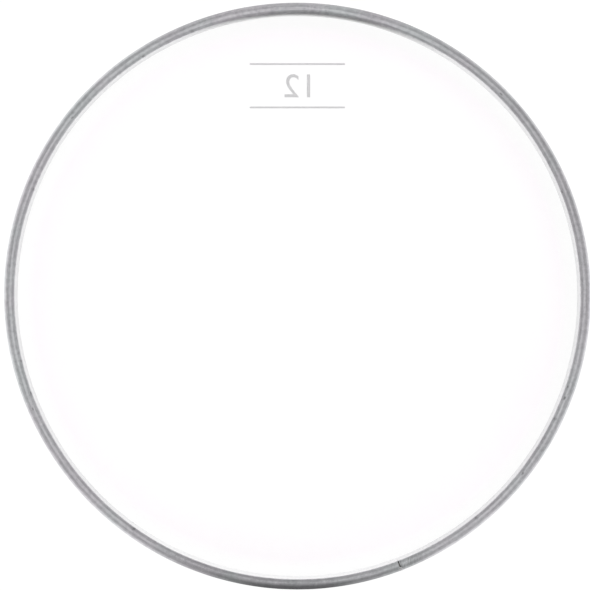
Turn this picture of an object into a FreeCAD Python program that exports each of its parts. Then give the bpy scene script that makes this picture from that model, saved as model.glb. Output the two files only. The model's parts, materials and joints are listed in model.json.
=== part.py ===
"""Clear drum head for a 12-inch drum: film, hoop channel, cast resin and seam weld.

Frame: millimetres, +Z up, origin at the centre of the playing face. The head lies on its playing
face, so the collar rises from it and the hoop's closed side is on top.
"""

import FreeCAD, Part
import Sketcher
import math
import os

# Driving dimensions: name, value in millimetres (degrees and counts say so), what it is
SIZES = [
    ("shell_diameter", 304.8, "outside of the drum shell that the head fits over"),
    ("shell_slip", 1.0, "radial room between that shell and the hoop"),
    ("hoop_width", 6.1, "hoop from its bore to its outside"),
    ("hoop_height", 9.0, "hoop from its lips to its closed side"),
    ("hoop_wall", 1.0, "thickness of the channel's walls and web"),
    ("bore_corner", 1.2, "radius of the closed side's corner at the bore"),
    ("crown_lean", 35.0, "degrees from the hoop's top where that corner meets the crown's arc"),
    ("bore_fillet", 0.3, "inside radius of the channel's corner at the bore"),
    ("hoop_lift", 7.0, "lips of the hoop above the playing face"),
    ("seam_gap", 0.6, "open butt joint of the hoop, along its middle line"),
    ("seam_angle", 290.8, "degrees, where the butt joint lies, from +X"),
    ("weld_reach", 2.6, "depth of the weld in the butt joint, from the outside"),
    ("film_gauge", 0.25, "thickness of the film"),
    ("crown_bend", 4.0, "inside radius where the playing face turns into the collar"),
    ("collar_angle", 45.0, "degrees, rise of the collar from the playing face"),
    ("heel_bend", 0.8, "inside radius where the collar turns into the skirt"),
    ("lip_clearance", 0.3, "room between the collar and the inner lip"),
    ("skirt_depth", 2.5, "edge of the skirt below the hoop's closed side"),
    ("slot_width", 4.0, "lock slots in the skirt, along the skirt's edge"),
    ("slot_height", 2.5, "lock slots, across the skirt"),
    ("slot_inset", 1.5, "film left between the lock slots and the skirt's edge"),
    ("slot_count", 72, "count of lock slots round the skirt"),
    ("resin_recess", 0.8, "resin below the lips, inside the channel"),
    ("cut_overrun", 0.5, "how far cutting shapes pass what they cut"),
]

# The hoop's places, as expressions of the sizes. Its closed side is a small corner at the bore and
# one larger arc from there to the outside, the crown's, which the inside of the channel follows
BORE_RADIUS = "(Sizes.shell_diameter / 2 + Sizes.shell_slip)"
RIM_RADIUS = f"({BORE_RADIUS} + Sizes.hoop_width)"
MIDDLE_RADIUS = f"({BORE_RADIUS} + Sizes.hoop_width / 2)"
CAVITY_INSIDE = f"({BORE_RADIUS} + Sizes.hoop_wall)"
CAVITY_OUTSIDE = f"({RIM_RADIUS} - Sizes.hoop_wall)"
LIPS = "Sizes.hoop_lift"
HOOP_TOP = "(Sizes.hoop_lift + Sizes.hoop_height)"
CROWN_ARC = (
    "((Sizes.hoop_width - Sizes.bore_corner * (1 - sin(Sizes.crown_lean)))"
    " / (1 + sin(Sizes.crown_lean)))"
)
ARC_RADIUS = f"({RIM_RADIUS} - {CROWN_ARC})"
ARC_HEIGHT = f"({HOOP_TOP} - {CROWN_ARC})"
CORNER_HEIGHT = f"({ARC_HEIGHT} + ({CROWN_ARC} - Sizes.bore_corner) * cos(Sizes.crown_lean))"
CAVITY_ARC = f"({CROWN_ARC} - Sizes.hoop_wall)"
CAVITY_LEAN = (
    f"asin(({CAVITY_OUTSIDE} - {CAVITY_INSIDE} - Sizes.bore_fillet - {CAVITY_ARC})"
    f" / ({CAVITY_ARC} - Sizes.bore_fillet))"
)
FILLET_HEIGHT = f"({ARC_HEIGHT} + ({CAVITY_ARC} - Sizes.bore_fillet) * cos({CAVITY_LEAN}))"
SEAM_SWEEP = f"(360 * Sizes.seam_gap / (2 * pi * {MIDDLE_RADIUS}))"

# The film's middle line: the heel is where collar and skirt would meet, the crown where
# collar and playing face would meet, and each bend starts its own setback before that point
HALF_GAUGE = "(Sizes.film_gauge / 2)"
HEEL_HEIGHT = (
    f"({LIPS} - ({HALF_GAUGE} + Sizes.lip_clearance) / cos(Sizes.collar_angle)"
    f" + ({MIDDLE_RADIUS} - {CAVITY_INSIDE}) * tan(Sizes.collar_angle))"
)
CROWN_RADIUS = f"({MIDDLE_RADIUS} - ({HEEL_HEIGHT} - {HALF_GAUGE}) / tan(Sizes.collar_angle))"
CROWN_SETBACK = f"((Sizes.crown_bend + {HALF_GAUGE}) * tan(Sizes.collar_angle / 2))"
HEEL_SETBACK = f"((Sizes.heel_bend + {HALF_GAUGE}) * tan((90 - Sizes.collar_angle) / 2))"
FACE_RADIUS = f"({CROWN_RADIUS} - {CROWN_SETBACK})"
SKIRT_START = f"({HEEL_HEIGHT} + {HEEL_SETBACK})"
SKIRT_EDGE = f"({HOOP_TOP} - Sizes.skirt_depth)"
SKIRT_INSIDE = f"({MIDDLE_RADIUS} - {HALF_GAUGE})"
SKIRT_OUTSIDE = f"({MIDDLE_RADIUS} + {HALF_GAUGE})"
# The first lock slot is a quarter of the pitch from +X, so that none meets the film's start line
FIRST_SLOT = "(360 / Sizes.slot_count / 4)"
COLLAR_LOW = (
    f"({CROWN_RADIUS} + {CROWN_SETBACK} * cos(Sizes.collar_angle))",
    f"({HALF_GAUGE} + {CROWN_SETBACK} * sin(Sizes.collar_angle))",
)
COLLAR_HIGH = (
    f"({MIDDLE_RADIUS} - {HEEL_SETBACK} * cos(Sizes.collar_angle))",
    f"({HEEL_HEIGHT} - {HEEL_SETBACK} * sin(Sizes.collar_angle))",
)

# The turn of an arc, seen along its outline
LEFT, RIGHT = 1, -1


def make_sheet(doc):
    """The spreadsheet with one named cell for each driving dimension."""
    sheet = doc.addObject("Spreadsheet::Sheet", "Sizes")
    for row, (name, number, meaning) in enumerate(SIZES, start=1):
        sheet.set(f"A{row}", meaning)
        sheet.set(f"B{row}", str(number))
        sheet.setAlias(f"B{row}", name)
    doc.recompute()
    return sheet


def origin_feature(body, role):
    """A body's own origin plane or axis."""
    return next(f for f in body.Origin.OriginFeatures if f.Role == role)


def new_sketch(body, name, plane):
    """An empty sketch on one of the body's own origin planes."""
    sketch = body.newObject("Sketcher::SketchObject", name)
    sketch.AttachmentSupport = [(origin_feature(body, plane), "")]
    sketch.MapMode = "FlatFace"
    return sketch


def arc_between(start, end, radius, turn):
    """The short arc from start to end that turns left or right. It is stored counter-clockwise."""
    chord = end - start
    rise = math.sqrt(max(radius**2 - (chord.Length / 2) ** 2, 0))
    across = FreeCAD.Vector(-chord.y, chord.x, 0).normalize()
    centre = (start + end) / 2 + across * (turn * rise)
    first, last = (start, end) if turn == LEFT else (end, start)
    angles = [math.atan2(p.y - centre.y, p.x - centre.x) for p in (first, last)]
    circle = Part.Circle(centre, FreeCAD.Vector(0, 0, 1), radius)
    return Part.ArcOfCircle(circle, *angles)


def place_point(sketch, geometry, end, axis, expression):
    """Ties one coordinate of a sketch point to an expression, or to the other axis where it is zero."""
    kind, zero_line = {"x": ("DistanceX", -2), "y": ("DistanceY", -1)}[axis]
    if expression == "0":
        sketch.addConstraint(Sketcher.Constraint("PointOnObject", geometry, end, zero_line))
        return
    number = float(sketch.evalExpression(expression))
    index = sketch.addConstraint(Sketcher.Constraint(kind, -1, 1, geometry, end, number))
    sketch.setExpression(f"Constraints[{index}]", expression)


def draw_outline(sketch, corners, arcs):
    """A closed outline through corners, each a pair of expressions.

    arcs gives the radius expression and the turn of the stretches that are arcs, by the number of
    the corner where the stretch starts. Every corner and radius is bound to its expression.
    """
    points = [
        FreeCAD.Vector(*(float(sketch.evalExpression(e)) for e in corner), 0) for corner in corners
    ]
    starts, ends = [], []
    for number, start in enumerate(points):
        end = points[(number + 1) % len(points)]
        if number in arcs:
            radius, turn = arcs[number]
            shape = arc_between(start, end, float(sketch.evalExpression(radius)), turn)
        else:
            turn = LEFT
            shape = Part.LineSegment(start, end)
        geometry = sketch.addGeometry(shape)
        starts.append((geometry, 1 if turn == LEFT else 2))
        ends.append((geometry, 2 if turn == LEFT else 1))
    for number, start in enumerate(starts):
        sketch.addConstraint(Sketcher.Constraint("Coincident", *ends[number - 1], *start))
        for axis, expression in zip("xy", corners[number]):
            place_point(sketch, *start, axis, expression)
    for number, (radius, _) in arcs.items():
        number_now = float(sketch.evalExpression(radius))
        index = sketch.addConstraint(Sketcher.Constraint("Radius", starts[number][0], number_now))
        sketch.setExpression(f"Constraints[{index}]", radius)


def turned(body, name, corners, arcs, sweep, kind="PartDesign::Revolution"):
    """A body feature made by turning an outline about the head's axis, half of sweep each way."""
    sketch = new_sketch(body, f"{name}_outline", "XZ_Plane")
    draw_outline(sketch, corners, arcs)
    feature = body.newObject(kind, name)
    feature.Profile = sketch
    feature.ReferenceAxis = (sketch, ["V_Axis"])
    feature.Midplane = True
    feature.setExpression("Angle", sweep)
    return feature


def require_less(feature, base):
    """Recomputes, and stops the build if a cutting feature has taken nothing away."""
    feature.Document.recompute()
    if not feature.Shape.Volume < base.Shape.Volume:
        raise RuntimeError(f"{feature.Label} cuts nothing")


def cavity_corners():
    """Where the arcs inside the channel start, meet and end, from the outside to the bore."""
    return [
        (CAVITY_OUTSIDE, ARC_HEIGHT),
        (
            f"({ARC_RADIUS} - {CAVITY_ARC} * sin({CAVITY_LEAN}))",
            f"({ARC_HEIGHT} + {CAVITY_ARC} * cos({CAVITY_LEAN}))",
        ),
        (CAVITY_INSIDE, FILLET_HEIGHT),
    ]


def channel_outline():
    """The hoop's section: a U-channel with its lips down, seen from its bore outwards."""
    corners = [
        (BORE_RADIUS, LIPS),
        (CAVITY_INSIDE, LIPS),
        *reversed(cavity_corners()),
        (CAVITY_OUTSIDE, LIPS),
        (RIM_RADIUS, LIPS),
        (RIM_RADIUS, ARC_HEIGHT),
        (
            f"({ARC_RADIUS} - {CROWN_ARC} * sin(Sizes.crown_lean))",
            f"({ARC_HEIGHT} + {CROWN_ARC} * cos(Sizes.crown_lean))",
        ),
        (BORE_RADIUS, CORNER_HEIGHT),
    ]
    arcs = {
        2: ("Sizes.bore_fillet", RIGHT),
        3: (CAVITY_ARC, RIGHT),
        7: (CROWN_ARC, LEFT),
        8: ("Sizes.bore_corner", LEFT),
    }
    return corners, arcs


def make_hoop(doc):
    """The hoop: one length of channel bent to a ring, open at its butt joint."""
    body = doc.addObject("PartDesign::Body", "hoop_channel")
    turned(body, "hoop_bend", *channel_outline(), f"360 - {SEAM_SWEEP}")
    body.setExpression("Placement.Rotation.Angle", "Sizes.seam_angle - 180")
    return body


def make_weld(doc):
    """The weld: it fills the butt joint's gap in the outer wall and outer corner of the channel."""
    body = doc.addObject("PartDesign::Body", "seam_weld")
    fill = turned(body, "weld_fill", *channel_outline(), SEAM_SWEEP)
    doc.recompute()
    inside = f"({BORE_RADIUS} - Sizes.cut_overrun)"
    outside = f"({RIM_RADIUS} - Sizes.weld_reach)"
    below = f"({LIPS} - Sizes.cut_overrun)"
    above = f"({HOOP_TOP} + Sizes.cut_overrun)"
    corners = [(inside, below), (outside, below), (outside, above), (inside, above)]
    open_part = turned(body, "weld_open_part", corners, {}, "360", "PartDesign::Groove")
    require_less(open_part, fill)
    body.setExpression("Placement.Rotation.Angle", "Sizes.seam_angle")
    return body


def beside(point, side):
    """The film's face beside a point of the collar's middle line, below it or above it."""
    radius, height = point
    sign = {"below": "+", "above": "-"}[side]
    other = {"below": "-", "above": "+"}[side]
    return (
        f"({radius} {sign} {HALF_GAUGE} * sin(Sizes.collar_angle))",
        f"({height} {other} {HALF_GAUGE} * cos(Sizes.collar_angle))",
    )


def make_film(doc):
    """The film: playing face, crown bend, collar, heel bend and skirt, with its lock slots."""
    body = doc.addObject("PartDesign::Body", "film")
    corners = [
        ("0", "0"),
        (FACE_RADIUS, "0"),
        beside(COLLAR_LOW, "below"),
        beside(COLLAR_HIGH, "below"),
        (SKIRT_OUTSIDE, SKIRT_START),
        (SKIRT_OUTSIDE, SKIRT_EDGE),
        (SKIRT_INSIDE, SKIRT_EDGE),
        (SKIRT_INSIDE, SKIRT_START),
        beside(COLLAR_HIGH, "above"),
        beside(COLLAR_LOW, "above"),
        (FACE_RADIUS, "Sizes.film_gauge"),
        ("0", "Sizes.film_gauge"),
    ]
    arcs = {
        1: ("(Sizes.crown_bend + Sizes.film_gauge)", LEFT),
        3: ("(Sizes.heel_bend + Sizes.film_gauge)", LEFT),
        7: ("Sizes.heel_bend", RIGHT),
        9: ("Sizes.crown_bend", RIGHT),
    }
    formed = turned(body, "formed_film", corners, arcs, "360")
    doc.recompute()

    sketch = new_sketch(body, "lock_slot_outline", "YZ_Plane")
    upright = FreeCAD.Rotation(FreeCAD.Vector(0, 1, 0), 1)
    sketch.AttachmentOffset = FreeCAD.Placement(FreeCAD.Vector(), upright)
    sketch.setExpression("AttachmentOffset.Rotation.Angle", FIRST_SLOT)
    sketch.setExpression("AttachmentOffset.Base.x", f"{MIDDLE_RADIUS} * sin({FIRST_SLOT})")
    sketch.setExpression("AttachmentOffset.Base.z", f"{MIDDLE_RADIUS} * cos({FIRST_SLOT})")
    top = f"({SKIRT_EDGE} - Sizes.slot_inset)"
    foot = f"({top} - Sizes.slot_height)"
    width = "Sizes.slot_width"
    draw_outline(sketch, [("0", foot), (width, foot), (width, top), ("0", top)], {})
    punch = body.newObject("PartDesign::Pocket", "lock_slot_punch")
    punch.Profile = sketch
    punch.SideType = "Symmetric"
    punch.setExpression("Length", "Sizes.film_gauge + 2 * Sizes.cut_overrun")
    require_less(punch, formed)

    slots = body.newObject("PartDesign::PolarPattern", "lock_slots")
    slots.Originals = [punch]
    slots.Axis = (origin_feature(body, "Z_Axis"), [""])
    slots.setExpression("Occurrences", "Sizes.slot_count")
    body.Tip = slots
    require_less(slots, punch)
    return body


def make_resin(doc, film):
    """The cast resin: it fills the channel round the skirt and runs through the lock slots."""
    body = doc.addObject("PartDesign::Body", "resin_ring")
    level = f"({LIPS} + Sizes.resin_recess)"
    corners = [(CAVITY_INSIDE, level), (CAVITY_OUTSIDE, level), *cavity_corners()]
    arcs = {2: (CAVITY_ARC, LEFT), 3: ("Sizes.bore_fillet", LEFT)}
    turned(body, "resin_pour", corners, arcs, "360")
    doc.recompute()
    cast = doc.addObject("Part::Cut", "resin_fill")
    cast.Base = body
    cast.Tool = film
    require_less(cast, body)
    return cast


def check_document(doc, pieces):
    """Stops the build if any object failed or any piece is not one sound solid."""
    failed = [o.Label for o in doc.Objects if {"Invalid", "Error"} & set(o.State)]
    if failed:
        raise RuntimeError(f"these failed: {failed}")
    for piece in pieces:
        shape = piece.Shape
        if shape.isNull() or not shape.isValid() or len(shape.Solids) != 1:
            raise RuntimeError(f"{piece.Label} is not one sound solid")


def main():
    doc = FreeCAD.newDocument("drum_head")
    make_sheet(doc)
    film = make_film(doc)
    pieces = [film, make_hoop(doc), make_weld(doc), make_resin(doc, film)]
    doc.recompute()
    check_document(doc, pieces)
    os.makedirs("parts", exist_ok=True)
    for piece in pieces:
        piece.Shape.exportStep(os.path.join("parts", f"{piece.Label}.step"))
        print(f"{piece.Label}: {piece.Shape.Volume:.1f} mm3")


main()
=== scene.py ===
"""Looks of the clear drum head, in metres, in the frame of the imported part.

The head lies on its playing face with the hoop's closed side up, and is seen from straight above.
Sizes are in millimetres unless a comment says metres. Angles round the axis are in degrees, from +X
towards +Y.
"""

import json
import math

import bmesh
import bpy
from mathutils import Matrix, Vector, noise


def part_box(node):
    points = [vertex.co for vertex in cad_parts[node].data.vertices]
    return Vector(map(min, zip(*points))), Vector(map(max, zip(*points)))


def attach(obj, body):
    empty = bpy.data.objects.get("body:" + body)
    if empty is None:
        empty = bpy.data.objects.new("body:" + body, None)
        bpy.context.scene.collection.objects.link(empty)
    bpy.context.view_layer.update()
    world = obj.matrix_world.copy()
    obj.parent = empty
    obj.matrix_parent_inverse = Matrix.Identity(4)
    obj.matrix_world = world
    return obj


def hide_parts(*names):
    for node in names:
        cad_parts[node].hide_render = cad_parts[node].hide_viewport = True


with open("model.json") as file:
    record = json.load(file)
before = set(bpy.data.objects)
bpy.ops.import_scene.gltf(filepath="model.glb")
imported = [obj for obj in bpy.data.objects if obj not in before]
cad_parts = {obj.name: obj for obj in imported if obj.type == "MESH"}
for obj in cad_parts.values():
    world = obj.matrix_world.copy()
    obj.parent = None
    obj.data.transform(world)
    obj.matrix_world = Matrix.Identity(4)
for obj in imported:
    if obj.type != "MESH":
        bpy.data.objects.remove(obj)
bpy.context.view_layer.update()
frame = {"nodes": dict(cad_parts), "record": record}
mounts = {m["name"]: m for m in frame["record"]["mounts"]}

MM = 0.001

# Hoop section: a small corner at the bore, and one larger arc from there to the outside
BORE = mounts["shell_bore"]["dims"]["r_mm"]
RIM = mounts["counterhoop_fit"]["dims"]["r_mm"]
MIDDLE = (BORE + RIM) / 2
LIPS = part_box("hoop_channel")[0].z / MM
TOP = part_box("hoop_channel")[1].z / MM
WALL = 1.0
LIP_EDGE = 0.25
BORE_CORNER, CROWN_LEAN = 1.2, 35.0
LEAN = math.sin(math.radians(CROWN_LEAN))
CROWN = (RIM - BORE - BORE_CORNER * (1 - LEAN)) / (1 + LEAN)
CROWN_CENTRE = (RIM - CROWN, TOP - CROWN)
CORNER_CENTRE = (
    CROWN_CENTRE[0] - (CROWN - BORE_CORNER) * LEAN,
    CROWN_CENTRE[1] + (CROWN - BORE_CORNER) * math.cos(math.radians(CROWN_LEAN)),
)

# Butt joint: its plain gap, and half its real width at the bore and at the rim. Down the bore it
# closes to a share of that, over a share of the bore's corner. The hoop's two ends are eased
SEAM_ANGLE, SEAM_GAP = 290.8, 0.6
SEAM_AT_BORE, SEAM_AT_RIM = 0.31, 0.27
SEAM_CLOSED_SHARE, SEAM_CLOSING_SHARE = 0.12, 0.9
EASED_LENGTH, EASED_DEPTH = 0.12, 0.07

# Wear of the hoop's closed side: place round it, distance out from the bore, depth and length.
# Nicks are small and are painted dark with dirt and shade, dents are shallow and stay clean
NICKS = [
    (21.5, 0.6, 0.25, 1.8),
    (44.8, 1.8, 0.22, 1.9),
    (111.8, 0.6, 0.20, 1.7),
    (122.8, 0.6, 0.20, 1.8),
    (141.6, 1.6, 0.16, 1.6),
    (158.0, 0.5, 0.22, 1.8),
    (193.2, 0.5, 0.24, 1.8),
    (200.0, 0.5, 0.24, 1.8),
    (203.1, 2.7, 0.17, 1.6),
    (235.0, 0.7, 0.30, 2.5),
    (308.8, 0.7, 0.24, 1.7),
    (321.7, 1.9, 0.16, 1.9),
    (334.5, 0.8, 0.21, 1.8),
    (339.1, 1.5, 0.20, 2.1),
    (341.5, 1.0, 0.19, 1.7),
]
DENTS = [
    (17.0, 5.1, 0.08, 5.0),
    (81.0, 5.1, 0.07, 6.0),
    (152.0, 5.1, 0.10, 4.5),
    (268.0, 5.1, 0.10, 4.0),
]
NICK_WIDTH, DENT_WIDTH, MARK_SPREAD_SHARE = 0.8, 1.6, 0.42

# Dirt and painted shade in a nick: its reach across the hoop, along it and upwards, as shares of the
# nick's length, the share of that reach that is fully dark, how ragged it is, and the depth that is
# darkest
NICK_DARK_SHARES = (0.45, 0.75, 0.45)
NICK_DARK_CORE_SHARE, NICK_DARK_RAGGED, NICK_DARKEST_DEPTH = 0.55, 0.5, 0.25

# Where the hoop is bent out of round: the place, the reach in degrees and the shift
BENDS = [(138.0, 26.0, 0.45), (213.0, 30.0, -0.42), (330.0, 24.0, -0.18)]

# Unevenness of the drawn metal: its height, and how many waves a metre holds
RIPPLES = [(0.02, 40), (0.008, 190)]

# Steps of the hoop's mesh: along its arcs, the length of a straight step and the most of them in one
# stretch, round the hoop, and to each side of a mark
LIP_STEPS, CORNER_STEPS, CROWN_STEPS = 4, 9, 26
INNER_CORNER_STEPS, INNER_CROWN_STEPS = 3, 10
LINE_STEP, MOST_LINE_STEPS = 0.9, 8
HOOP_COLUMNS, MARK_COLUMNS = 720, 8


def arc(centre, radius, start, end, steps):
    """Points on an arc, from start to end in degrees, both included."""
    turns = [math.radians(start + (end - start) * i / steps) for i in range(steps + 1)]
    return [(centre[0] + radius * math.cos(t), centre[1] + radius * math.sin(t)) for t in turns]


def line(start, end, steps):
    """Points between start and end, both left out."""
    return [
        (start[0] + (end[0] - start[0]) * i / steps, start[1] + (end[1] - start[1]) * i / steps)
        for i in range(1, steps)
    ]


def joined(*stretches):
    """A closed run of points through the stretches, with each gap filled by a straight line."""
    run = []
    for number, stretch in enumerate(stretches):
        run += stretch
        ahead = stretches[(number + 1) % len(stretches)][0]
        steps = round(math.dist(stretch[-1], ahead) / LINE_STEP)
        run += line(stretch[-1], ahead, max(1, min(MOST_LINE_STEPS, steps)))
    return run


def lip(radius, start):
    """A quarter round on one edge of the channel's lips."""
    return arc((radius, LIPS + LIP_EDGE), LIP_EDGE, start, start - 90, LIP_STEPS)


def hoop_section():
    """The channel's outline as (radius, height) points, from the inner lip up over the closed side."""
    meet = 90 + CROWN_LEAN
    outside = arc(CORNER_CENTRE, BORE_CORNER, 180, meet, CORNER_STEPS)[:-1]
    outside += arc(CROWN_CENTRE, CROWN, meet, 0, CROWN_STEPS)
    inside = arc(CROWN_CENTRE, CROWN - WALL, 0, meet, INNER_CROWN_STEPS)[:-1]
    inside += arc(CORNER_CENTRE, BORE_CORNER - WALL, meet, 180, INNER_CORNER_STEPS)
    return joined(
        lip(BORE + LIP_EDGE, 270),
        outside,
        lip(RIM - LIP_EDGE, 0),
        lip(RIM - WALL + LIP_EDGE, -90),
        inside,
        lip(BORE + WALL - LIP_EDGE, 0),
    )


def outward(points):
    """The outward direction at each point of a clockwise closed outline."""
    found = []
    for number in range(len(points)):
        back, ahead = points[number - 1], points[(number + 1) % len(points)]
        along = Vector((ahead[0] - back[0], ahead[1] - back[1])).normalized()
        found.append((-along.y, along.x))
    return found


def at(radius, height, degrees):
    """A point in metres, from a radius and a height in millimetres."""
    turn = math.radians(degrees)
    return Vector((radius * math.cos(turn), radius * math.sin(turn), height)) * MM


def top_point(inset):
    """The point of the hoop's closed side at a distance out from the bore, as (radius, height)."""
    radius = BORE + inset
    on_crown = radius > CROWN_CENTRE[0] - CROWN * LEAN
    (middle, level), size = (CROWN_CENTRE, CROWN) if on_crown else (CORNER_CENTRE, BORE_CORNER)
    return radius, level + math.sqrt(size**2 - (radius - middle) ** 2)


def turn_from(place, degrees):
    """The shortest turn from a place to an angle, in degrees."""
    return (degrees - place + 180) % 360 - 180


def hoop_wear(radius, height, degrees):
    """How far the hoop's outside stands in or out at a point."""
    spot = at(radius, height, degrees)
    shift = sum(rise * noise.noise(spot * waves) for rise, waves in RIPPLES)
    for marks, width in ((NICKS, NICK_WIDTH), (DENTS, DENT_WIDTH)):
        for place, inset, depth, length in marks:
            along = math.radians(turn_from(place, degrees)) * MIDDLE
            if abs(along) < length:
                across = math.dist((radius, height), top_point(inset)) / width
                shift -= depth * math.exp(-((along / (length * MARK_SPREAD_SHARE)) ** 2) - across**2)
    return shift


def out_of_round(degrees):
    """How far the whole section of the hoop is shifted outwards."""
    return sum(
        shift * math.exp(-((turn_from(place, degrees) / reach) ** 2)) for place, reach, shift in BENDS
    )


def hoop_angles():
    """The angles of the hoop's sections, from one end of the butt joint to the other."""
    half = math.degrees(SEAM_GAP / 2 / MIDDLE)
    first, last = SEAM_ANGLE + half, SEAM_ANGLE + 360 - half
    angles = {first + (last - first) * i / HOOP_COLUMNS for i in range(HOOP_COLUMNS + 1)}
    for place, _, _, length in NICKS + DENTS:
        start = first + (place - first) % 360
        reach = math.degrees(length / MIDDLE)
        angles |= {start + reach * i / MARK_COLUMNS for i in range(1 - MARK_COLUMNS, MARK_COLUMNS)}
    eased = math.degrees(EASED_LENGTH / MIDDLE)
    angles |= {first + eased, last - eased}
    return sorted(angles)


def link(item):
    """Puts an object into the scene."""
    bpy.context.scene.collection.objects.link(item)


def new_object(name, mesh):
    """An object in the scene, from a mesh that is being built."""
    data = bpy.data.meshes.new(name)
    mesh.to_mesh(data)
    mesh.free()
    made = bpy.data.objects.new(name, data)
    link(made)
    return made


def add_piece(name, mesh, smooth_angle=40):
    """A shown piece on the one body, with its faces turned out and shaded smooth up to an angle."""
    bmesh.ops.recalc_face_normals(mesh, faces=mesh.faces[:])
    if mesh.calc_volume(signed=True) < 0:
        bmesh.ops.reverse_faces(mesh, faces=mesh.faces[:])
    mesh.normal_update()
    piece = new_object(name, mesh)
    for face in piece.data.polygons:
        face.use_smooth = True
    piece.data.set_sharp_from_angle(angle=math.radians(smooth_angle))
    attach(piece, "root")
    return piece


def seam_spread(radius, height):
    """How much wider the butt joint is on each side than its plain gap."""
    across = (radius - BORE) / (RIM - BORE)
    half = SEAM_AT_BORE + (SEAM_AT_RIM - SEAM_AT_BORE) * across
    if radius < MIDDLE:
        closing = (CORNER_CENTRE[1] - height) / BORE_CORNER + SEAM_CLOSING_SHARE
        half *= max(SEAM_CLOSED_SHARE, 1 - max(0.0, closing / SEAM_CLOSING_SHARE))
    return half - SEAM_GAP / 2


def make_hoop():
    """The hoop: the channel bent round, worn on its outside, with eased edges at the butt joint."""
    section = hoop_section()
    normals = outward(section)
    angles = hoop_angles()
    last = len(angles) - 1
    half_wall = WALL / 2
    mesh = bmesh.new()
    rings = []
    for number, degrees in enumerate(angles):
        ease = EASED_DEPTH if number in (0, last) else 0.0
        away = {0: 1, 1: 1, last - 1: -1, last: -1}.get(number, 0)
        bend = out_of_round(degrees)
        ring = []
        for (radius, height), (nr, nz) in zip(section, normals):
            inside = BORE + half_wall < radius < RIM - half_wall and height < TOP - half_wall
            shift = -ease + (0.0 if inside else hoop_wear(radius, height, degrees))
            turn = degrees + away * math.degrees(seam_spread(radius, height) / MIDDLE)
            ring.append(mesh.verts.new(at(radius + bend + nr * shift, height + nz * shift, turn)))
        rings.append(ring)
    count = len(section)
    for here, ahead in zip(rings, rings[1:]):
        for i in range(count):
            j = (i + 1) % count
            mesh.faces.new((here[i], here[j], ahead[j], ahead[i]))
    mesh.faces.new(rings[0][::-1])
    mesh.faces.new(rings[-1])
    hoop = add_piece("hoop", mesh)
    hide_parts("hoop_channel")
    return hoop


# Film section, with its bends' inner radii and the room that the collar leaves to the inner lip
GAUGE = 0.25
COLLAR_ANGLE = 45.0
CROWN_BEND, HEEL_BEND = 4.0, 0.8
LIP_ROOM = 0.3
FACE_RADII = (6, 20, 45, 75, 100, 120, 132, 140, 144)
CROWN_BEND_STEPS, COLLAR_STEPS, HEEL_STEPS = 9, 5, 5

# Lock slots in the film's skirt: where the first starts and how far each reaches, in degrees, the
# columns of points in a slot and in the land after it, as shares of their widths, and a slot's
# distance from the skirt's edge and its height
SLOT_COUNT, SLOT_START, SLOT_SWEEP = 72, 1.25, 1.47
SLOT_SHARES, LAND_SHARES = (0, 0.5, 1), (0.25, 0.5, 0.75)
SLOT_MARGIN, SLOT_HEIGHT = 1.5, 2.5
SKIRT_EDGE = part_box("film")[1].z / MM
SLOT_HIGH = SKIRT_EDGE - SLOT_MARGIN
SLOT_LOW = SLOT_HIGH - SLOT_HEIGHT
SKIRT_HEIGHTS = (SLOT_LOW, (SLOT_LOW + SLOT_HIGH) / 2, SLOT_HIGH, SKIRT_EDGE)


def film_sections():
    """The film's two sides as (radius, height) points, outwards from near the axis."""
    half = GAUGE / 2
    lean = math.radians(COLLAR_ANGLE)
    slope = math.tan(lean)
    heel_height = LIPS - (half + LIP_ROOM) / math.cos(lean) + (MIDDLE - (BORE + WALL)) * slope
    crown = MIDDLE - (heel_height - half) / slope
    face = crown - (CROWN_BEND + half) * math.tan(math.radians(COLLAR_ANGLE / 2))
    skirt = heel_height + (HEEL_BEND + half) * math.tan(math.radians((90 - COLLAR_ANGLE) / 2))
    heel = (MIDDLE - HEEL_BEND - half, skirt)
    sides = []
    for offset in (half, -half):
        bend = CROWN_BEND + half + offset
        run = [(radius, half - offset) for radius in FACE_RADII]
        run += arc((face, GAUGE + CROWN_BEND), bend, -90, COLLAR_ANGLE - 90, CROWN_BEND_STEPS)
        turn = arc(heel, HEEL_BEND + half + offset, COLLAR_ANGLE - 90, 0, HEEL_STEPS)
        run += line(run[-1], turn[0], COLLAR_STEPS) + turn
        run += [(MIDDLE + offset, height) for height in SKIRT_HEIGHTS]
        sides.append(run)
    return sides


def film_angles():
    """The angles of the film's columns of points, slot by slot."""
    pitch = 360 / SLOT_COUNT
    angles = []
    for slot in range(SLOT_COUNT):
        start = slot * pitch + SLOT_START
        angles += [start + SLOT_SWEEP * share for share in SLOT_SHARES]
        angles += [start + SLOT_SWEEP + (pitch - SLOT_SWEEP) * share for share in LAND_SHARES]
    return angles


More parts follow.
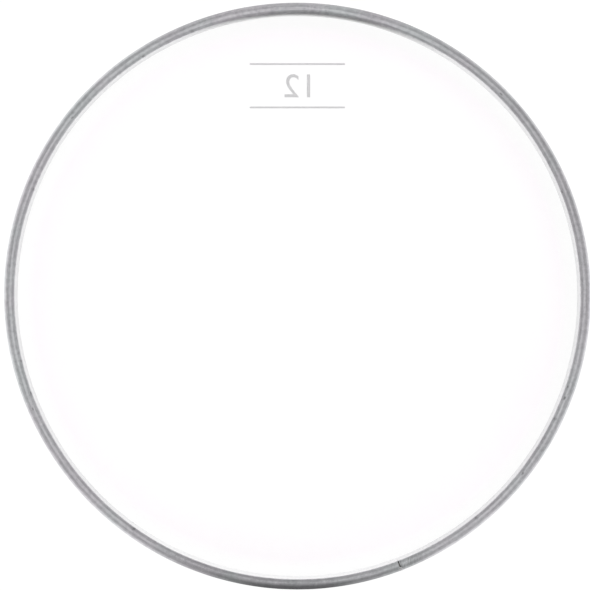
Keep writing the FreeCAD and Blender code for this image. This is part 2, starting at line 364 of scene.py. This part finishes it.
def make_film():
    """The film: playing face, crown, collar and skirt in one sheet, with lock slots in the skirt."""
    sections = film_sections()
    angles = film_angles()
    mesh = bmesh.new()
    below, above = [
        [[mesh.verts.new(at(r, z, a)) for r, z in side] for a in angles] for side in sections
    ]
    poles = [mesh.verts.new((0, 0, side[0][1] * MM)) for side in sections]
    count = len(angles)
    last = len(sections[0]) - 1
    first_slot_row = len(sections[0]) - len(SKIRT_HEIGHTS)
    slot_rows = range(first_slot_row, first_slot_row + SKIRT_HEIGHTS.index(SLOT_HIGH))
    slot_columns = len(SLOT_SHARES) - 1
    pitch_columns = len(SLOT_SHARES) + len(LAND_SHARES)

    def in_slot(column, row):
        return column % pitch_columns < slot_columns and row in slot_rows

    for column in range(count):
        ahead = (column + 1) % count
        for sheet, pole in zip((below, above), poles):
            here, there = sheet[column], sheet[ahead]
            mesh.faces.new((pole, here[0], there[0]))
            for row in range(last):
                if not in_slot(column, row):
                    mesh.faces.new((here[row], here[row + 1], there[row + 1], there[row]))
        mesh.faces.new((below[column][last], above[column][last], above[ahead][last], below[ahead][last]))
    for column in range(count):
        ahead = (column + 1) % count
        for row in slot_rows:
            if not in_slot(column, row):
                continue
            borders = [
                (in_slot(column, row - 1), (column, row), (ahead, row)),
                (in_slot(column, row + 1), (column, row + 1), (ahead, row + 1)),
                (in_slot(column - 1, row), (column, row), (column, row + 1)),
                (in_slot(column + 1, row), (ahead, row), (ahead, row + 1)),
            ]
            for open_beyond, (c, r), (d, s) in borders:
                if not open_beyond:
                    mesh.faces.new((below[c][r], below[d][s], above[d][s], above[c][r]))
    film = add_piece("film_sheet", mesh, smooth_angle=50)
    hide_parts("film")
    return film


# Weld: where it starts on the crown's arc, in degrees, and how far above the lips it ends, its half
# width and how uneven that is, how far its middle rises, its edges are sunk and its lumps rise, and
# how deep it goes. Its rise falls off by a power of the distance across and along it
WELD_START, WELD_FOOT = 75, 0.15
WELD_HALF_WIDTH, WELD_UNEVEN = 1.05, 0.25
WELD_RISE, WELD_SUNK, WELD_LUMPS = 0.075, 0.03, 0.02
WELD_DEPTH = 0.55
WELD_FALL_ACROSS, WELD_FALL_ALONG = 2.6, 8
WELD_ARC_STEPS, WELD_WALL_STEPS, WELD_COLUMNS = 15, 9, 14

# Noise of the weld: waves along its sides, waves across and along its lumps, and a seed for each
SIDE_WAVES, SIDE_SEED = 0.7, 3.1
LUMP_WAVES_ACROSS, LUMP_WAVES_ALONG, LUMP_SEED = 2.2, 1.4, 7.7


def make_weld():
    """The weld over the joint's crown and outer wall: a low filed patch whose edges are sunk."""
    foot = (RIM, LIPS + WELD_FOOT)
    run = arc(CROWN_CENTRE, CROWN, WELD_START, 0, WELD_ARC_STEPS)
    normals = arc((0, 0), 1.0, WELD_START, 0, WELD_ARC_STEPS)
    wall = line(run[-1], foot, WELD_WALL_STEPS) + [foot]
    run += wall
    normals += [(1.0, 0.0)] * len(wall)
    rows = len(run)
    mesh = bmesh.new()
    outer, inner = [], []
    for i in range(WELD_COLUMNS + 1):
        u = 2 * i / WELD_COLUMNS - 1
        outer_row, inner_row = [], []
        for k, ((radius, height), (nr, nz)) in enumerate(zip(run, normals)):
            v = 2 * k / (rows - 1) - 1
            width = WELD_HALF_WIDTH + WELD_UNEVEN * noise.noise((height * SIDE_WAVES, SIDE_SEED, u))
            degrees = SEAM_ANGLE + math.degrees(u * width / RIM)
            crown = (1 - abs(u) ** WELD_FALL_ACROSS) * (1 - abs(v) ** WELD_FALL_ALONG)
            lumps = noise.noise((u * LUMP_WAVES_ACROSS, height * LUMP_WAVES_ALONG, LUMP_SEED))
            proud = WELD_RISE * crown - WELD_SUNK + WELD_LUMPS * lumps * crown
            for row, shift in ((outer_row, proud), (inner_row, -WELD_DEPTH)):
                row.append(mesh.verts.new(at(radius + nr * shift, height + nz * shift, degrees)))
        outer.append(outer_row)
        inner.append(inner_row)
    for i in range(WELD_COLUMNS):
        for k in range(rows - 1):
            mesh.faces.new((outer[i][k], outer[i][k + 1], outer[i + 1][k + 1], outer[i + 1][k]))
            mesh.faces.new((inner[i][k], inner[i + 1][k], inner[i + 1][k + 1], inner[i][k + 1]))
        for k in (0, rows - 1):
            mesh.faces.new((outer[i][k], outer[i + 1][k], inner[i + 1][k], inner[i][k]))
    for i in (0, WELD_COLUMNS):
        for k in range(rows - 1):
            mesh.faces.new((outer[i][k], inner[i][k], inner[i][k + 1], outer[i][k + 1]))
    weld = add_piece("weld_patch", mesh, smooth_angle=50)
    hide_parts("seam_weld")
    return weld


# Printed size mark on the playing face: the ink's gap to the film and how far down it reaches, the
# figure's height, what the font's size is to that and the steps of its curves, and the two rules
INK_GAP, INK_DEPTH = 0.002, 0.02
MARK_CENTRE = (0.0, 116.5)
MARK_HEIGHT, FONT_SHARE, FONT_STEPS = 13.5, 1.38, 12
RULE_LENGTH, RULE_WIDTH, RULE_OFFSET, RULE_END_STEPS = 52.0, 1.0, 12.0, 8

# Points of the figure closer than this, in metres, are one point
MERGE_DISTANCE = 1e-7


def make_rules():
    """Two plain rules of ink with round ends, above and below the size figure."""
    mesh = bmesh.new()
    for up in (1, -1):
        y = MARK_CENTRE[1] + up * RULE_OFFSET
        corners = arc((RULE_LENGTH / 2, y), RULE_WIDTH / 2, -90, 90, RULE_END_STEPS)
        corners += arc((-RULE_LENGTH / 2, y), RULE_WIDTH / 2, 90, 270, RULE_END_STEPS)
        low = [mesh.verts.new((x * MM, y * MM, -INK_DEPTH * MM)) for x, y in corners]
        high = [mesh.verts.new((x * MM, y * MM, -INK_GAP * MM)) for x, y in corners]
        mesh.faces.new(low)
        mesh.faces.new(high)
        for i in range(len(corners)):
            j = (i + 1) % len(corners)
            mesh.faces.new((low[i], low[j], high[j], high[i]))
    return add_piece("print_rules", mesh, smooth_angle=30)


def make_figure():
    """The size in inches. It reads right from the playing side, so it is mirrored from inside."""
    text = bpy.data.curves.new("print_figure_outline", "FONT")
    text.body = "12"
    text.size = MARK_HEIGHT * MM * FONT_SHARE
    text.align_x, text.align_y = "CENTER", "CENTER"
    text.extrude = (INK_DEPTH - INK_GAP) / 2 * MM
    text.resolution_u = FONT_STEPS
    holder = bpy.data.objects.new("print_figure_outline", text)
    link(holder)
    seen = holder.evaluated_get(bpy.context.evaluated_depsgraph_get())
    shape = bpy.data.meshes.new_from_object(seen)
    bpy.data.objects.remove(holder)
    mesh = bmesh.new()
    mesh.from_mesh(shape)
    bpy.data.meshes.remove(shape)
    bmesh.ops.remove_doubles(mesh, verts=mesh.verts[:], dist=MERGE_DISTANCE)
    xs = [v.co.x for v in mesh.verts]
    ys = [v.co.y for v in mesh.verts]
    middle = ((min(xs) + max(xs)) / 2, (min(ys) + max(ys)) / 2)
    for vert in mesh.verts:
        vert.co.x = MARK_CENTRE[0] * MM - (vert.co.x - middle[0])
        vert.co.y = MARK_CENTRE[1] * MM + vert.co.y - middle[1]
        vert.co.z -= (INK_DEPTH + INK_GAP) / 2 * MM
    return add_piece("print_figure", mesh, smooth_angle=30)


# The radius that a ramp over the distance from the axis ends at
RAMP_RADIUS = 200.0


class Nodes:
    """Short ways to add and join the nodes of one material or world."""

    def __init__(self, tree):
        self.tree = tree
        tree.nodes.clear()

    def add(self, kind, settings=None, **inputs):
        """A node with its inputs set or linked. An input i0, i1 and so on goes by its number."""
        node = self.tree.nodes.new(kind)
        for name, value in (settings or {}).items():
            setattr(node, name, value)
        for name, value in inputs.items():
            self.feed(node, int(name[1:]) if name[1:].isdigit() else name.replace("_", " "), value)
        return node

    def feed(self, node, socket, value):
        """Links a socket to another node's output, or sets its value."""
        if isinstance(value, bpy.types.NodeSocket):
            self.tree.links.new(value, node.inputs[socket])
        else:
            node.inputs[socket].default_value = value

    def maths(self, operation, a, b=0.0, c=0.0, clamp=False):
        """The result of an operation on numbers."""
        settings = {"operation": operation, "use_clamp": clamp}
        return self.add("ShaderNodeMath", settings, i0=a, i1=b, i2=c).outputs[0]

    def weighted(self, *terms):
        """The sum of values, each times its weight."""
        total = 0.0
        for value, weight in terms:
            total = self.maths("MULTIPLY_ADD", value, weight, total)
        return total

    def measure(self, operation, a, b=(0.0, 0.0, 0.0)):
        """The number that an operation on vectors gives, such as a length."""
        return self.add("ShaderNodeVectorMath", {"operation": operation}, i0=a, i1=b).outputs["Value"]

    def ramp(self, factor, stops):
        """A grey or a colour by a factor, from (position, grey or colour) stops."""
        node = self.add("ShaderNodeValToRGB", None, Fac=factor)
        elements = node.color_ramp.elements
        while len(elements) > 1:
            elements.remove(elements[-1])
        elements[0].position = stops[0][0]
        for position, _ in stops[1:]:
            elements.new(position)
        for element, (_, colour) in zip(elements, stops):
            grey = colour if isinstance(colour, tuple) else (colour,) * 3
            element.color = (*grey, 1.0)
        return node.outputs["Color"]

    def noise(self, vector, scale, detail=3.0, roughness=0.55, distortion=0.0):
        """Cloudy noise from 0 to 1."""
        node = self.add("ShaderNodeTexNoise", None, Vector=vector, Scale=scale, Detail=detail,
                        Roughness=roughness, Distortion=distortion)
        return node.outputs["Fac"]

    def mix(self, factor, a, b, blend="MIX"):
        """A mix of two colours, which are sockets 6 and 7 of its node."""
        node = self.add("ShaderNodeMix", {"data_type": "RGBA", "blend_type": blend}, i0=factor)
        for socket, colour in ((6, a), (7, b)):
            self.feed(node, socket, (*colour, 1.0) if isinstance(colour, tuple) else colour)
        return node.outputs[2]

    def mix_shaders(self, factor, a, b):
        """A mix of two shader nodes."""
        return self.add("ShaderNodeMixShader", None, i0=factor, i1=a.outputs[0], i2=b.outputs[0])

    def bump(self, height, strength, distance):
        """A normal that follows a height, over a distance in metres."""
        node = self.add("ShaderNodeBump", None, Height=height, Strength=strength, Distance=distance)
        return node.outputs["Normal"]

    def point(self):
        """The point in the part's frame, in metres."""
        return self.add("ShaderNodeTexCoord").outputs["Object"]

    def polar(self, point):
        """A point's distance from the axis, its height, and its direction from the axis."""
        parts = self.add("ShaderNodeSeparateXYZ", None, Vector=point)
        flat = self.add("ShaderNodeCombineXYZ", None, X=parts.outputs["X"], Y=parts.outputs["Y"])
        heading = self.add("ShaderNodeVectorMath", {"operation": "NORMALIZE"}, i0=flat.outputs[0])
        return self.measure("LENGTH", flat.outputs[0]), parts.outputs["Z"], heading.outputs[0]

    def drawn_lines(self, polar, along, across, detail=3.0):
        """Noise in lines that run round the hoop: finer across the metal than along it."""
        radius, height, heading = polar
        turn = self.add("ShaderNodeSeparateXYZ", None, Vector=heading)
        vector = self.add(
            "ShaderNodeCombineXYZ", None,
            X=self.maths("MULTIPLY", turn.outputs["X"], along),
            Y=self.maths("MULTIPLY", turn.outputs["Y"], along),
            Z=self.maths("MULTIPLY", radius, across),
        )
        node = self.add(
            "ShaderNodeTexNoise", {"noise_dimensions": "4D"}, Vector=vector.outputs[0],
            W=self.maths("MULTIPLY", height, across), Scale=1.0, Detail=detail, Roughness=0.6,
        )
        return node.outputs["Fac"]

    def side(self, heading, degrees, none, full):
        """1 towards a direction from the axis, and 0 away from it, between two cosines of the turn."""
        direction = tuple(at(1 / MM, 0, degrees))
        return self.ramp(self.measure("DOT_PRODUCT", heading, direction), [(none, 0.0), (full, 1.0)])

    def over_radius(self, radius, stops):
        """A ramp over the distance from the axis, with its stops in millimetres."""
        share = self.maths("MULTIPLY", radius, 1 / (RAMP_RADIUS * MM))
        return self.ramp(share, [(place / RAMP_RADIUS, value) for place, value in stops])

    def principled(self, **inputs):
        """The main shader, with its inputs named as they are there."""
        return self.add("ShaderNodeBsdfPrincipled", None, **inputs)

    def output(self, shader, kind="ShaderNodeOutputMaterial"):
        """Ends the material or world with a shader node."""
        self.add(kind, None, Surface=shader.outputs[0])


def new_material(name):
    """A material and its empty nodes."""
    material = bpy.data.materials.new(name)
    material.use_nodes = True
    return material, Nodes(material.node_tree)


# Sides of the hoop and the film: where the hoop has painted shade, where its bore's painted highlight
# is brightest, where it is filed beside the joint, how the file's strokes are turned and how many waves
# a metre of them holds across, along and upwards, and where the film's cast is wider
PAINTED_SHADE_SIDE, PAINTED_HIGHLIGHT_SIDE = 28.0, 262.0
FILED_SIDE, STROKE_TURN = SEAM_ANGLE + 2.0, 35.0 - SEAM_ANGLE
STROKE_WAVES = (2100.0, 180.0, 180.0)
CAST_SIDE = 315.0
WHITE = (1.0, 1.0, 1.0)


def nick_dirt_and_shade(n, point, marks):
    """How dark a point of the hoop is painted by dirt and shade: most in the middle of a nick, with a
    ragged edge.
    """
    ragged = n.maths("MULTIPLY", marks, NICK_DARK_RAGGED)
    darkening = 0.0
    for place, inset, depth, length in NICKS:
        radius, height = top_point(inset)
        near = n.add(
            "ShaderNodeMapping", {"vector_type": "TEXTURE"}, Vector=point,
            Location=tuple(at(radius + out_of_round(place), height, place)),
            Rotation=(0.0, 0.0, math.radians(place)),
            Scale=tuple(share * length * MM for share in NICK_DARK_SHARES),
        )
        away = n.maths("ADD", n.measure("LENGTH", near.outputs[0]), ragged)
        spot_darkening = n.ramp(away, [(NICK_DARK_CORE_SHARE, min(1.0, depth / NICK_DARKEST_DEPTH)), (1.0, 0.0)])
        darkening = n.maths("MAXIMUM", darkening, spot_darkening)
    return darkening


def file_strokes(n, point, heading, normal):
    """Where the hoop's closed side is filed beside the joint, and the strokes of the file."""
    up = n.add("ShaderNodeSeparateXYZ", None, Vector=normal).outputs["Z"]
    beside = n.side(heading, FILED_SIDE, none=0.9969, full=0.9995)
    filed = n.maths("MULTIPLY", beside, n.ramp(up, [(0.5, 0.0), (0.8, 1.0)]))
    turned = n.add("ShaderNodeMapping", None, Vector=point, Scale=STROKE_WAVES,
                   Rotation=(0.0, 0.0, math.radians(STROKE_TURN)))
    return filed, n.noise(turned.outputs[0], scale=1.0, detail=2.0, roughness=0.5)


def hoop_metal():
    """Mill-finish aluminium: drawn lines, patches, scuffs, nicks with dirt and painted shade, a painted
    highlight on the bore, painted shade on one side, file strokes.
    """
    material, n = new_material("hoop_aluminium")
    point = n.point()
    polar = n.polar(point)
    heading = polar[2]
    normal = n.add("ShaderNodeNewGeometry").outputs["Normal"]
    fine = n.drawn_lines(polar, along=24.0, across=5200.0)
    broad = n.drawn_lines(polar, along=9.0, across=1500.0, detail=2.0)
    patches = n.noise(point, scale=55.0, detail=4.0, roughness=0.6)
    marks = n.noise(point, scale=620.0, detail=4.0, roughness=0.65, distortion=0.6)
    speckle = n.maths("SUBTRACT", n.noise(point, scale=380.0, roughness=0.6), 0.5)
    tone = n.weighted((fine, 0.45), (broad, 0.3), (patches, 0.25), (speckle, 0.45))

    colour = n.ramp(tone, [
        (0.36, (0.52, 0.52, 0.535)), (0.52, (0.655, 0.655, 0.67)), (0.66, (0.76, 0.76, 0.772)),
    ])
    cloud = n.noise(point, scale=34.0, detail=2.0)
    cast = n.ramp(cloud, [(0.38, (1.0, 0.972, 1.0)), (0.62, (0.968, 0.994, 0.992))])
    colour = n.mix(1.0, colour, cast, "MULTIPLY")
    # Painted shade: the hoop is darker towards one side
    painted_shade = n.mix(n.side(heading, PAINTED_SHADE_SIDE, none=0.79, full=0.97), WHITE, (0.90, 0.905, 0.90))
    colour = n.mix(1.0, colour, painted_shade, "MULTIPLY")
    scuffs = n.ramp(marks, [(0.60, 0.0), (0.72, 0.6)])
    colour = n.mix(scuffs, colour, (0.44, 0.44, 0.45))
    # Nicks painted darker, partly dirt and partly painted shade, most where they are deepest
    colour = n.mix(nick_dirt_and_shade(n, point, marks), colour, (0.30, 0.30, 0.31))

    # Painted highlight: the bore's faces are brighter than the rest, and brightest towards one side
    inward = n.maths("MULTIPLY", n.measure("DOT_PRODUCT", normal, heading), -1.0)
    bore_highlight = n.ramp(inward, [(0.85, 0.0), (0.97, 1.0)])
    highlight_colour = n.ramp(tone, [(0.36, (0.72, 0.72, 0.73)), (0.66, (0.87, 0.87, 0.88))])
    painted_highlight = n.side(heading, PAINTED_HIGHLIGHT_SIDE, none=0.80, full=0.95)
    colour = n.mix(bore_highlight, colour, n.mix(painted_highlight, highlight_colour, (0.93, 0.93, 0.935)))

    filed, strokes = file_strokes(n, point, heading, normal)
    cut = n.maths("MULTIPLY", filed, n.ramp(strokes, [(0.45, 0.0), (0.62, 0.7)]))
    colour = n.mix(cut, colour, (0.42, 0.43, 0.43))

    rough = n.ramp(n.weighted((patches, 0.6), (marks, 0.4)), [(0.35, 0.13), (0.65, 0.24)])
    height = n.weighted((fine, 1.0), (marks, 0.6), (n.maths("MULTIPLY", filed, strokes), 1.5))
    n.output(n.principled(Base_Color=colour, Metallic=1.0, Roughness=rough,
                          Normal=n.bump(height, strength=0.17, distance=0.00006)))
    return material


def weld_metal():
    """Filed weld metal, with a fine grain and low lumps."""
    material, n = new_material("weld_filed")
    point = n.point()
    grain = n.noise(point, scale=1800.0, roughness=0.6, distortion=0.4)
    lumps = n.noise(point, scale=500.0)
    colour = n.ramp(grain, [(0.3, (0.56, 0.56, 0.57)), (0.7, (0.76, 0.76, 0.765))])
    rough = n.ramp(lumps, [(0.3, 0.3), (0.7, 0.48)])
    height = n.maths("ADD", grain, lumps)
    n.output(n.principled(Base_Color=colour, Metallic=1.0, Roughness=rough,
                          Normal=n.bump(height, strength=0.3, distance=0.00008)))
    return material


def resin_cast():
    """Cast resin: dark and cloudy, with small bubbles at its surface."""
    material, n = new_material("resin_cast")
    point = n.point()
    cloud = n.noise(point, scale=90.0, detail=4.0, roughness=0.6)
    bubbles = n.add("ShaderNodeTexVoronoi", None, Vector=point, Scale=900.0).outputs["Distance"]
    pits = n.ramp(bubbles, [(0.08, 0.0), (0.22, 1.0)])
    colour = n.ramp(cloud, [(0.3, (0.19, 0.175, 0.15)), (0.7, (0.28, 0.26, 0.225))])
    rough = n.ramp(cloud, [(0.3, 0.32), (0.7, 0.5)])
    n.output(n.principled(Base_Color=colour, Roughness=rough,
                          Normal=n.bump(pits, strength=0.4, distance=0.0001)))
    return material


def film_clear():
    """Clear polyester: a faint violet cast by the crown, wider on one side, smudges and fine marks."""
    material, n = new_material("film_clear")
    point = n.point()
    radius, _, heading = n.polar(point)
    smudge = n.noise(point, scale=26.0, detail=5.0, roughness=0.6, distortion=0.5)
    hair = n.noise(point, scale=240.0, detail=6.0, roughness=0.7, distortion=2.5)
    near_crown = n.over_radius(radius, [(124.0, 0.0), (145.6, 1.0), (148.2, 0.5), (151.0, 0.0)])
    wider = n.over_radius(radius, [(104.0, 0.0), (129.0, 0.55), (145.6, 1.0), (148.2, 0.0)])
    wider = n.maths("MULTIPLY", n.side(heading, CAST_SIDE, none=0.55, full=0.9), wider)
    cast = n.maths("MAXIMUM", near_crown, wider)
    colour = n.mix(cast, WHITE, (0.987, 0.960, 0.982))
    colour = n.mix(n.ramp(smudge, [(0.5, 0.0), (0.8, 0.5)]), colour, (0.993, 0.992, 0.993))
    rough = n.ramp(n.weighted((smudge, 0.6), (hair, 0.4)), [(0.4, 0.015), (0.65, 0.05)])
    glass = n.principled(Base_Color=colour, Roughness=rough, IOR=1.4, Transmission_Weight=1.0,
                         Normal=n.bump(smudge, strength=0.05, distance=0.0004))
    clear = n.add("ShaderNodeBsdfTransparent", None, Color=(0.97, 0.965, 0.97, 1.0))
    path = n.add("ShaderNodeLightPath")
    n.output(n.mix_shaders(path.outputs["Is Shadow Ray"], glass, clear))
    return material


def ink_grey():
    """Pale grey printing ink, a little uneven where it was pressed on."""
    material, n = new_material("ink_grey")
    spread = n.noise(n.point(), scale=420.0, detail=4.0, roughness=0.6)
    colour = n.ramp(spread, [(0.3, (0.735, 0.735, 0.74)), (0.7, (0.815, 0.815, 0.82))])
    rough = n.ramp(spread, [(0.3, 0.45), (0.7, 0.6)])
    n.output(n.principled(Base_Color=colour, Roughness=rough,
                          Normal=n.bump(spread, strength=0.1, distance=0.00005)))
    return material


# Floor, in metres, how white it shows by itself, and the share of its light that keeps the shadow
FLOOR_HALF, FLOOR_DROP, FLOOR_SEGMENTS = 6.0, 0.0001, 8
FLOOR_GLOW, FLOOR_SHADOW_SHARE = 0.95, 0.105


def floor_white():
    """A pale floor that shows white to the camera, in gloss and through film, and keeps a soft shadow."""
    material, n = new_material("floor_white")
    grain = n.noise(n.point(), scale=30.0)
    tint = n.ramp(grain, [(0.3, 0.79), (0.7, 0.81)])
    plain = n.add("ShaderNodeBsdfDiffuse", None, Color=tint)
    share = n.add("ShaderNodeBsdfDiffuse", None, Color=(*(FLOOR_SHADOW_SHARE,) * 3, 1.0))
    white = n.add("ShaderNodeEmission", None, Color=(*WHITE, 1.0), Strength=FLOOR_GLOW)
    shown = n.add("ShaderNodeAddShader", None, i0=white.outputs[0], i1=share.outputs[0])
    path = n.add("ShaderNodeLightPath")
    rays = n.maths("ADD", path.outputs["Is Camera Ray"], path.outputs["Is Glossy Ray"])
    rays = n.maths("ADD", rays, path.outputs["Is Transmission Ray"], clamp=True)
    n.output(n.mix_shaders(rays, plain, shown))
    return material


def make_floor():
    """The floor that the head lies on, just under its ink."""
    mesh = bmesh.new()
    bmesh.ops.create_grid(mesh, x_segments=FLOOR_SEGMENTS, y_segments=FLOOR_SEGMENTS, size=FLOOR_HALF)
    floor = new_object("floor", mesh)
    floor.location.z = -FLOOR_DROP
    return floor


# Brightness of the sky from straight down, 0, over the horizon, 0.5, to straight up, 1, what a strip
# towards +Y adds to it, the strip's edges, and the share of its light that the sky loses at +Y and
# gains at -Y
SKY_STOPS = [
    (0.0, 0.9), (0.5, 1.0), (0.515, 0.97), (0.545, 0.75), (0.587, 0.68), (0.711, 0.65),
    (0.787, 0.585), (0.872, 0.535), (0.933, 0.545), (0.965, 0.61), (0.987, 0.74), (1.0, 0.78),
]
STRIP_STOPS = [(0.0, 0.0), (0.15, 0.06), (0.42, 0.10), (0.7, 0.07), (0.9, 0.03)]
STRIP_EDGES = [(0.12, 1.0), (0.36, 0.0)]
SKY_FALL = 0.09

# Panel that lights the floor and the matt surfaces, in metres and watts
PANEL_SIZE, PANEL_POWER, PANEL_PLACE = 3.0, 72.0, (1.2, 1.2, 3.0)


def make_sky():
    """Soft light from all round: bright at the horizon, greyest halfway up, with a strip towards +Y."""
    world = bpy.data.worlds.new("studio")
    bpy.context.scene.world = world
    world.use_nodes = True
    n = Nodes(world.node_tree)
    way = n.add("ShaderNodeTexCoord").outputs["Generated"]
    parts = n.add("ShaderNodeSeparateXYZ", None, Vector=way)
    sky = n.ramp(n.maths("MULTIPLY_ADD", parts.outputs["Z"], 0.5, 0.5), SKY_STOPS)
    in_strip = n.ramp(n.maths("ABSOLUTE", parts.outputs["X"]), STRIP_EDGES)
    lifted = n.mix(1.0, sky, n.ramp(parts.outputs["Y"], STRIP_STOPS), "ADD")
    strength = n.maths("MULTIPLY_ADD", parts.outputs["Y"], -SKY_FALL, 1.0)
    shine = n.add("ShaderNodeBackground", None, Color=n.mix(in_strip, sky, lifted), Strength=strength)
    n.output(shine, "ShaderNodeOutputWorld")


def make_panel():
    """A large soft panel aimed at the head, which shows neither in gloss nor through the film."""
    light = bpy.data.lights.new("softbox", "AREA")
    light.shape = "SQUARE"
    light.size = PANEL_SIZE
    light.energy = PANEL_POWER
    panel = bpy.data.objects.new("softbox", light)
    panel.location = PANEL_PLACE
    panel.rotation_euler = (-panel.location).to_track_quat("-Z", "Y").to_euler()
    panel.visible_glossy = False
    panel.visible_transmission = False
    link(panel)


# Painted reflections: glowing grey sheets round the head that only show in its gloss, in place of shade
# in what the metal reflects: where the middle is and how far each reaches at full and at no cover,
# in degrees, then the radius and height in millimetres, the tone and the cover at each bend of its
# section
PAINTED_REFLECTION_CARDS = {
    "card_near": (268.5, 6.0, 32.0, [
        (166, 0.6, 0.16, 1.0), (300, 0.6, 0.16, 1.0), (330, 30, 0.16, 1.0), (330, 110, 0.17, 1.0),
        (330, 190, 0.23, 1.0), (330, 340, 0.35, 1.0),
    ]),
    "card_over": (264.0, 8.0, 26.0, [
        (330, 342, 0.35, 1.0), (330, 550, 0.41, 1.0), (150, 520, 0.44, 1.0), (80, 420, 0.44, 1.0),
        (60, 280, 0.43, 1.0), (60, 190, 0.40, 1.0), (60, 70, 0.40, 1.0), (60, 30, 0.40, 0.0),
    ]),
    "card_inside": (86.5, 10.0, 28.0, [
        (60, 0.7, 0.12, 0.0), (100, 0.7, 0.12, 0.60), (144, 0.7, 0.12, 0.80), (147.6, 1.3, 0.12, 0.95),
        (150.6, 4.1, 0.12, 0.9), (151.8, 5.3, 0.14, 0.75), (152.9, 6.4, 0.4, 0.2),
    ]),
    "card_far": (88.0, 20.0, 45.0, [
        (160.8, 0.6, 0.68, 1.0), (300, 0.6, 0.68, 1.0), (330, 30, 0.68, 1.0), (330, 60, 0.68, 0.0),
    ]),
}
CARD_STEPS = 40
CARD_HIDDEN_FROM = ("camera", "diffuse", "transmission", "volume_scatter", "shadow")


def make_painted_reflection(name):
    """A glowing sheet bent round the head, a painted reflection: it only shows in gloss and fades out at
    both sides.
    """
    middle, full, whole, section = PAINTED_REFLECTION_CARDS[name]
    mesh = bmesh.new()
    look = mesh.verts.layers.float_color.new("card")
    columns = []
    for i in range(CARD_STEPS + 1):
        turn = whole * (2 * i / CARD_STEPS - 1)
        shown = min(1.0, (whole - abs(turn)) / (whole - full))
        column = []
        for radius, height, tone, cover in section:
            vert = mesh.verts.new(at(radius, height, middle + turn))
            vert[look] = (tone, tone, tone, cover * shown)
            column.append(vert)
        columns.append(column)
    for here, ahead in zip(columns, columns[1:]):
        for k in range(len(section) - 1):
            mesh.faces.new((here[k], here[k + 1], ahead[k + 1], ahead[k]))
    card = new_object(name, mesh)
    for rays in CARD_HIDDEN_FROM:
        setattr(card, f"visible_{rays}", False)
    return card


def painted_reflection_look():
    """The glowing tone and cover of a painted-reflection sheet, on the side that faces the head."""
    material, n = new_material("card")
    look = n.add("ShaderNodeVertexColor", {"layer_name": "card"})
    front = n.maths("SUBTRACT", 1.0, n.add("ShaderNodeNewGeometry").outputs["Backfacing"])
    cover = n.maths("MULTIPLY", look.outputs["Alpha"], front)
    # Painted reflection: the sheet glows with its tone, which the metal shows in place of shade
    tone = n.add("ShaderNodeEmission", None, Color=look.outputs["Color"])
    clear = n.add("ShaderNodeBsdfTransparent")
    n.output(n.mix_shaders(cover, clear, tone))
    return material


# Camera: its place and the nearest thing that it sees, in metres, and its sensor and lens
CAMERA_PLACE, CAMERA_NEAREST = (-0.00129, 0.00034, 0.696), 0.01
CAMERA_SENSOR, CAMERA_LENS = 36.0, 76.55


def make_camera():
    """Straight above the head, at the photograph's distance."""
    data = bpy.data.cameras.new("camera")
    data.sensor_width = CAMERA_SENSOR
    data.lens = CAMERA_LENS
    data.clip_start = CAMERA_NEAREST
    camera = bpy.data.objects.new("camera", data)
    camera.location = CAMERA_PLACE
    link(camera)
    bpy.context.scene.camera = camera


def dress(piece, material):
    """Gives a piece its one material."""
    piece.data.materials.clear()
    piece.data.materials.append(material)


dress(make_hoop(), hoop_metal())
dress(make_film(), film_clear())
dress(make_weld(), weld_metal())
dress(frame["nodes"]["resin_fill"], resin_cast())
ink = ink_grey()
dress(make_rules(), ink)
dress(make_figure(), ink)
dress(make_floor(), floor_white())
painted_reflection_material = painted_reflection_look()
for card_name in PAINTED_REFLECTION_CARDS:
    dress(make_painted_reflection(card_name), painted_reflection_material)
make_sky()
make_panel()
make_camera()
bpy.context.scene.view_settings.view_transform = "Standard"
